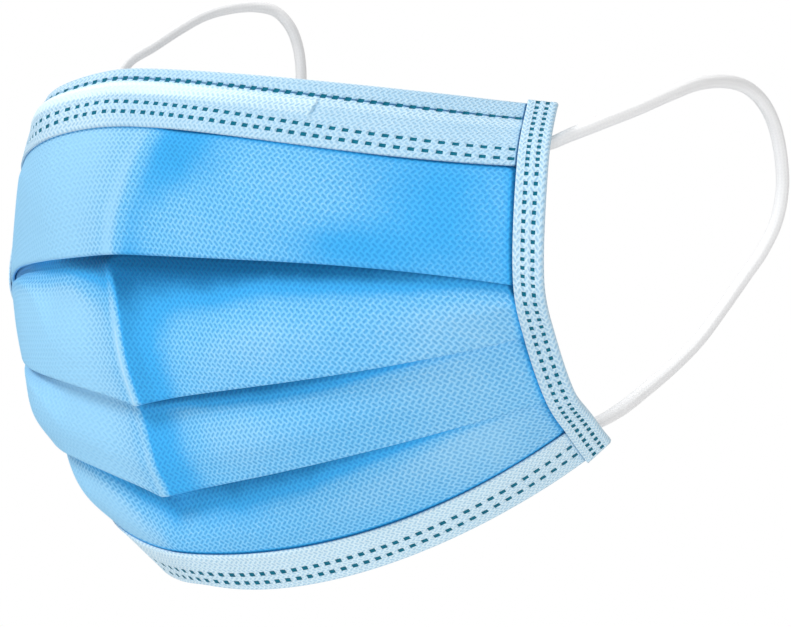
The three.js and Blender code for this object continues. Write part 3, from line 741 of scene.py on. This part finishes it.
def binding(name, edge_line, tape_line, rows_of_dashes, front_depth, back_depth, tone_at):
    """A tape folded over an edge and welded in rows of dashes. The depth functions give the front and
    the back wall's outer faces at a share of the width, and tone_at the front wall's tone there."""
    fine = np.linspace(-1, 1, 800)
    flat = pattern_mm(fine)
    dashes = np.arange(math.ceil(flat[0] / DASH_PITCH + 0.35), flat[-1] / DASH_PITCH - 0.35) * DASH_PITCH
    wire_ends = np.interp(np.array([-WIRE_END, WIRE_END]), across_mm(fine) / 1000, flat)
    stops = np.concatenate([notched(dashes, DASH_LENGTH / 2, 0.1).ravel(), (dashes[1:] + dashes[:-1]) / 2,
                            notched(wire_ends, 0.25, 0.35).ravel()])
    stops = np.concatenate([flat[:1], stops, flat[-1] - np.array([0.9, 0.6, 0.3, 0])])
    stops = np.unique(np.round(np.clip(stops, flat[0], flat[-1]), 4))
    past = 1 + np.linspace(0, IN_SIDE_BINDING, 4)[1:] / SIDE_UNIT
    station = np.concatenate([-past[::-1], np.interp(stops, flat, fine), past])
    on_dash = np.abs(stops[:, None] - dashes[None]).min(axis=1) <= DASH_LENGTH / 2 + 1e-6
    on_dash = np.concatenate([np.zeros(3, bool), on_dash, np.zeros(3, bool)])
    marks = marks_at(station)
    width = np.abs(marks[:, tape_line] - marks[:, edge_line])
    way = 1 if tape_line > edge_line else -1
    size = np.minimum(np.abs(station), 1)
    rows_at = [row_place(row, size) for row in rows_of_dashes]
    halves = [row[2] for row in rows_of_dashes]
    ends = [row + out * (half + DASH_RIM) / width for row, half in zip(rows_at, halves) for out in (-1, 1)]
    ends = [0 * size + FOLD_START] + ends + [0 * size + 1]
    stops_down, in_row = [], []
    for index in range(len(rows_at) + 1):
        t = np.linspace(0, 1, 6)[:, None]
        clear = ends[2 * index] + (ends[2 * index + 1] - ends[2 * index]) * t
        first, last = (0 if index == 0 else 1), (6 if index == len(rows_at) else 5)
        stops_down += list(clear[first:last])
        in_row += [False] * (last - first)
        if index < len(rows_at):
            half = halves[index]
            for offset in (-half - DASH_RIM, -half, -DASH_JOINT, DASH_JOINT, half, half + DASH_RIM):
                stops_down.append(rows_at[index] + offset / width)
                in_row.append(abs(offset) <= half)
    share = np.stack(stops_down, axis=1)
    in_row = np.array(in_row)
    weld = on_dash[:, None] & in_row[None]
    depth_front = front_depth(share, size[:, None]) + TAPE / 2
    back_stops = np.linspace(FOLD_START, 0.97, 16)[None].repeat(len(station), 0)
    depth_back = back_depth(back_stops, size[:, None]) - TAPE / 2
    fold_radius = ((depth_back[:, 0] - depth_front[:, 0]) / 2)[:, None]
    angle = (np.arange(1, 6) * math.pi / 6)[None]
    fold_reach = np.minimum(fold_radius, FOLD_START * width[:, None])
    fold_share = FOLD_START - fold_reach * np.sin(angle) / width[:, None]
    fold_depth = depth_front[:, :1] + fold_radius * (1 - np.cos(angle))
    shares = np.concatenate([share[:, ::-1], fold_share, back_stops], axis=1)
    depth = np.concatenate([depth_front[:, ::-1], fold_depth, depth_back], axis=1)
    weld = np.pad(weld[:, ::-1], ((0, 0), (0, shares.shape[1] - share.shape[1])))
    length = marks[:, edge_line:edge_line + 1] + way * shares * width[:, None]
    outer, inner = two_sided(length, depth, -way * TAPE)
    front_points = laid(station, line_at(marks, outer[0]), outer[1] + DASH_SUNK * weld)
    back_points = laid(station, line_at(marks, inner[0]), inner[1])
    to_side = (flat[-1] - pattern_mm(station)) * (np.abs(station) <= 1)
    # Painted shade darkens the tape just before the side binding on the wearer's left.
    tone = tone_at(shares, station[:, None]) - 1.6 * np.exp(-(to_side / 0.5) ** 2)[:, None]
    turned = np.arange(shares.shape[1])[None] >= share.shape[1]
    tone = tone * ~turned
    across = np.broadcast_to(pattern_mm(station)[:, None], shares.shape)
    down = np.where(turned, -1, 1) * shares * width[:, None] * 1000
    return tape(name, front_points, back_points, np.stack([across, down], axis=-1), tone, weld, way > 0)


tape_cloth = cloth_finish("pale binding tape", (0.68, 0.87, 0.97), (0.53, 0.74, 0.88), (0.37, 0.60, 0.78),
                          (0.02, 0.13, 0.30), (0.42, 0.62, 0.78), (0.90, 0.94, 0.98), 0.72,
                          {"Column": 1.3, "Row": 0.78, "Length": 1.0, "Width": 0.36})


def grained(tree, shader, scale, a, b):
    """Colours a shader with a fine grain between two colours, and returns the grain."""
    place = tree.nodes.new("ShaderNodeTexCoord")
    noise = tree.nodes.new("ShaderNodeTexNoise")
    noise.inputs["Scale"].default_value = scale
    tree.links.new(place.outputs["Object"], noise.inputs["Vector"])
    tree.links.new(mixed(tree, noise.outputs["Fac"], a, b), shader.inputs["Base Color"])
    return noise.outputs["Fac"]


weld_mark, tree, shader = finish_named("teal weld mark", 0.7, 0.15)
bumped(tree, shader, grained(tree, shader, 900, (0.0, 0.09, 0.155), (0.0, 0.17, 0.26)), 0.00005)


def between_rows(share, size):
    """Where a share of the top tape's width lies between the first two rows of dashes, 0 to 1."""
    first, second = (row_place(row, size) for row in TOP_ROWS[:2])
    return (share - first) / (second - first)


def on_pocket(share, size):
    """1 over the pocket of the nose wire, between the first two rows of dashes, and 0 beside it."""
    place = between_rows(share, size)
    return smooth_step((place - 0.12) / 0.16) * smooth_step((0.74 - place) / 0.05)


def past_pocket(station):
    """How far past the pocket's end a station lies, in mm."""
    return np.abs(across_mm(station[:, 0])[:, None]) - WIRE_END * 1000


def top_front(share, size):
    """Front wall of the top binding: a groove along the first row of dashes, a low swell on the wire."""
    first = row_place(TOP_ROWS[0], size)
    ended = smooth_step(-past_pocket(size) / 0.3)
    return 0.00018 * np.exp(-((share - first) / 0.03) ** 2) - 0.0003 * on_pocket(share, size) * ended


def top_tone(share, station):
    """The top binding is palest on the pocket, partly as painted light that grows towards the wearer's
    right, where the whole tape is painted a little paler too, and in a painted highlight along a line
    below the first row of dashes. It is deeper along that row, at the pocket's hem below the wire and at
    its left end."""
    size = np.minimum(np.abs(station), 1)
    past = past_pocket(station)
    across = across_mm(station[:, 0])[:, None]
    below_first = share - row_place(TOP_ROWS[0], size)
    pocket = on_pocket(share, size)
    # The pocket is painted whiter towards the wearer's right, and the tape a little paler there: painted
    # light.
    whiter = 1.9 - 1.1 * smooth_step((across - 5) / 32)
    tone = -0.55 + whiter * pocket * smooth_step(-past / 0.2) + 0.3 * smooth_step((8 - across) / 14)
    # A painted highlight along a line below the first row of dashes.
    tone = tone + 1.6 * np.exp(-((below_first - 0.085) / 0.035) ** 2)
    tone = tone - 0.9 * pocket * (np.abs(past) < 0.26) * (station > 0)
    hem = np.exp(-((between_rows(share, size) - 0.83) / 0.035) ** 2)
    tone = tone - 0.7 * hem * (past < 0) * smooth_step((across + 20) / 30)
    return tone - 1.7 * np.exp(-(below_first / 0.014) ** 2)


def plain_back(share, size):
    """Back wall of a binding. It lies closer to the cloth inside the side bindings."""
    return 0.0017 - 0.0006 * smooth_step((size - 0.85) / 0.13) + 0 * share


def top_back(share, size):
    """Back wall of the top binding, with a low swell over the wire."""
    over_wire = np.exp(-((share - WIRE_PLACE) / 0.2) ** 2) * smooth_step(-past_pocket(size) / 4)
    return plain_back(share, size) + 0.0007 * over_wire


top_tape = binding("top_binding_tape", TOP_EDGE, TOP_TAPE, TOP_ROWS, top_front, top_back, top_tone)
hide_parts("top_binding")
# The bottom binding's front is painted paler all over, as painted light on its downward face.
bottom_tape = binding("bottom_binding_tape", BOTTOM_EDGE, BOTTOM_TAPE, BOTTOM_ROWS,
                      lambda share, size: 0 * share * size, plain_back,
                      lambda share, station: 0.65 + 0 * share * station)
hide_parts("bottom_binding")


# A side binding is a wider strip of the same tape, folded over the ends of the pleats and the other
# two bindings and welded through in two rows of dots, closer together at its ends.
SIDE_WIDTH = 0.0066
SIDE_SLANT = 0.0016
SIDE_DRAWN = 0.17
SIDE_OVERHANG = -0.0002
# Distance down the strip and the dots' pitch there, in mm.
DOT_PITCH = np.array([(0, 1.84), (10, 1.84), (19, 1.25), (19.4, 1.95), (25, 1.56), (35, 1.52), (42, 1.8),
                      (60, 1.95), (68, 2.3), (69, 1.9), (80, 2.35), (93, 2.5)])
# Half a dot's height, as a share of the pitch, at the ends of the strip and between them.
DOT_SHARES = (0.28, 0.21)
DENSE_TOP, DENSE_BOTTOM = 0.0192, 0.0695
DOT_HALF_WIDTH = 0.00044
SIDE_ROWS = (0.0021, 0.0042)


def side_binding(name, node, side):
    """The strip on one side, 1 for the wearer's left and -1 for the right."""
    marks = marks_at(np.array([float(side)]))
    total = marks[0, BOTTOM_EDGE]
    spots = [0.7]
    while spots[-1] < total * 1000 - 1.6:
        spots.append(spots[-1] + np.interp(spots[-1], DOT_PITCH[:, 0], DOT_PITCH[:, 1]))
    spots = np.array(spots) / 1000
    pitch = np.interp(spots * 1000, DOT_PITCH[:, 0], DOT_PITCH[:, 1]) / 1000
    half = pitch * np.where((spots < DENSE_TOP) | (spots > DENSE_BOTTOM), *DOT_SHARES)
    downs = np.concatenate([notched(spots, half, 0.00008).T.ravel(), (spots[1:] + spots[:-1]) / 2,
                            [-SIDE_OVERHANG, total + SIDE_OVERHANG]])
    downs = np.unique(np.round(np.clip(downs, -SIDE_OVERHANG, total + SIDE_OVERHANG), 7))
    nearest = np.abs(downs[:, None] - spots[None])
    on_spot = nearest.min(axis=1) <= half[nearest.argmin(axis=1)] + 1e-7
    outs = np.sort(np.concatenate([notched(np.array(SIDE_ROWS), DOT_HALF_WIDTH, DASH_RIM).ravel(),
                                   [0.0, 0.0005, 0.001, 0.00155, 0.00338, 0.00535, 0.0058]]))
    in_row = np.abs(outs[:, None] - np.array(SIDE_ROWS)[None]).min(axis=1) <= DOT_HALF_WIDTH + 1e-7
    front_depth, corner = -0.00045, 0.0007
    at_ends = smooth_step((0.016 - downs) / 0.008) + smooth_step((downs - total + 0.012) / 0.006)
    back_depth = (0.0016 + 0.0014 * at_ends)[:, None]
    angle = np.linspace(0.25, math.pi / 2, 4)
    turn = np.stack([SIDE_WIDTH - 0.0002 - corner * (1 - np.sin(angle)),
                     front_depth + corner * (1 - np.cos(angle))], axis=1)
    path_out = np.concatenate([outs, turn[:, 0], turn[::-1, 0], np.linspace(0.0055, 0.0002, 12)])
    front_wall = np.concatenate([np.full(len(outs), front_depth), turn[:, 1]])
    front_wall = np.broadcast_to(front_wall, (len(downs), len(front_wall)))
    path_depth = np.concatenate([front_wall, back_depth - turn[None, ::-1, 1] + front_depth,
                                 np.broadcast_to(back_depth, (len(downs), 12))], axis=1)
    weld = on_spot[:, None] & np.concatenate([in_row, np.zeros(len(path_out) - len(outs), bool)])[None]
    outs_grid = np.broadcast_to(path_out, weld.shape)
    outer, inner = two_sided(outs_grid, path_depth, TAPE)
    outer = (outer[0], outer[1] + DASH_SUNK * weld)

    def placed(out, depth):
        """Points of the strip. It is drawn narrower between its ends, and its lower end is cut at a
        slant, shorter towards the fold."""
        out = out * (1 - SIDE_DRAWN * np.sin(np.clip(downs / total, 0, 1) ** 0.8 * math.pi) ** 0.7)[:, None]
        slant = SIDE_SLANT * smooth_step((downs - total + 0.007) / 0.007)[:, None] * out / SIDE_WIDTH
        grid = np.zeros((*out.shape, 3))
        for column in range(out.shape[1]):
            for_column = side * (1 + np.maximum(out[:, column], 0) / SIDE_UNIT)
            line = line_at(np.repeat(marks, len(downs), 0), (downs - slant[:, column])[:, None])
            grid[:, column] = laid(for_column, line, depth[:, column:column + 1])[:, 0]
        return grid

    # The strip is painted paler towards its lower end, as painted light.
    tone = np.broadcast_to(0.05 + 0.6 * smooth_step((downs / total - 0.6) / 0.3)[:, None], weld.shape)
    uv = np.stack([np.broadcast_to(downs[:, None], weld.shape), outs_grid], axis=-1) * 1000
    piece = tape(name, placed(*outer), placed(*inner), uv, tone, weld, side > 0)
    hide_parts(node)
    return piece


left_tape = side_binding("left_side_binding_tape", "side_binding_left", 1)
right_tape = side_binding("right_side_binding_tape", "side_binding_right", -1)


# The nose wire is a flat strip of soft wire in a plastic coat. It lies loose in its pocket, behind
# the front wall of the top binding.
WIRE_WIDTH = 0.004
WIRE_THICKNESS = 0.0008
WIRE_DEPTH = 0.0011
WIRE_STOPS = 81
wire, tree, shader = finish_named("coated nose wire", 0.45, 0.5)
grained(tree, shader, 400, (0.72, 0.74, 0.76), (0.84, 0.86, 0.88))
fine = np.linspace(-0.95, 0.95, 400)
wire_station = np.interp(np.linspace(-WIRE_END, WIRE_END, WIRE_STOPS) * 1000, across_mm(fine), fine)
marks = marks_at(wire_station)
middle, deep = marks[:, TOP_TAPE] * WIRE_PLACE, np.full(WIRE_STOPS, WIRE_DEPTH)
length, depth = straight(middle - WIRE_WIDTH / 2, middle + WIRE_WIDTH / 2, deep, deep, 6)
wire_paths = two_sided(length, depth, WIRE_THICKNESS)
wire_points = both_sides(*(laid(wire_station, line_at(marks, length), depth) for length, depth in wire_paths))
nose_wire = built("coated_nose_wire", wire_points, np.concatenate(sheet_faces(*length.shape)).tolist(),
                  materials=[wire])
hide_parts("nose_wire")


# The mask hangs in front of plain white, over a pale floor, in soft light from the front left.
scene = bpy.context.scene
scene.view_settings.view_transform = "Standard"
bpy.ops.object.select_all(action="DESELECT")
bpy.ops.mesh.primitive_circle_add(vertices=96, radius=1.5, fill_type="NGON", location=(0, 0, -0.4))
floor = bpy.context.active_object
floor.name = "floor"
bpy.ops.object.transform_apply(location=True, rotation=True, scale=True)
paper, tree, shader = finish_named("pale floor", 0.9, 0.2)
grained(tree, shader, 60, (0.9, 0.9, 0.9), (0.94, 0.94, 0.94))
floor.data.materials.append(paper)

world = bpy.data.worlds.new("white studio")
scene.world = world
world.use_nodes = True
tree = world.node_tree
shown = tree.nodes["Background"]
shown.inputs["Color"].default_value = (1, 1, 1, 1)
lighting = tree.nodes.new("ShaderNodeBackground")
lighting.inputs["Color"].default_value = (1, 1, 1, 1)
lighting.inputs["Strength"].default_value = 0.36
seen = tree.nodes.new("ShaderNodeLightPath")
choice = tree.nodes.new("ShaderNodeMixShader")
tree.links.new(seen.outputs["Is Camera Ray"], choice.inputs[0])
tree.links.new(lighting.outputs[0], choice.inputs[1])
tree.links.new(shown.outputs[0], choice.inputs[2])
tree.links.new(choice.outputs[0], tree.nodes["World Output"].inputs["Surface"])


def soft_light(name, place, size, watts):
    """A square soft box that faces the middle of the mask."""
    data = bpy.data.lights.new(name, "AREA")
    data.shape, data.size, data.energy = "SQUARE", size, watts
    light = bpy.data.objects.new(name, data)
    scene.collection.objects.link(light)
    light.location = place
    light.rotation_euler = (Vector((0, 0.02, -0.05)) - Vector(place)).to_track_quat("-Z", "Y").to_euler()


soft_light("key light", (-0.35, -0.95, 0.95), 0.45, 11.9)
soft_light("fill light", (1.0, -0.75, 0.0), 0.9, 6.4)
soft_light("top light", (0, 0.1, 1.6), 1.2, 11.5)
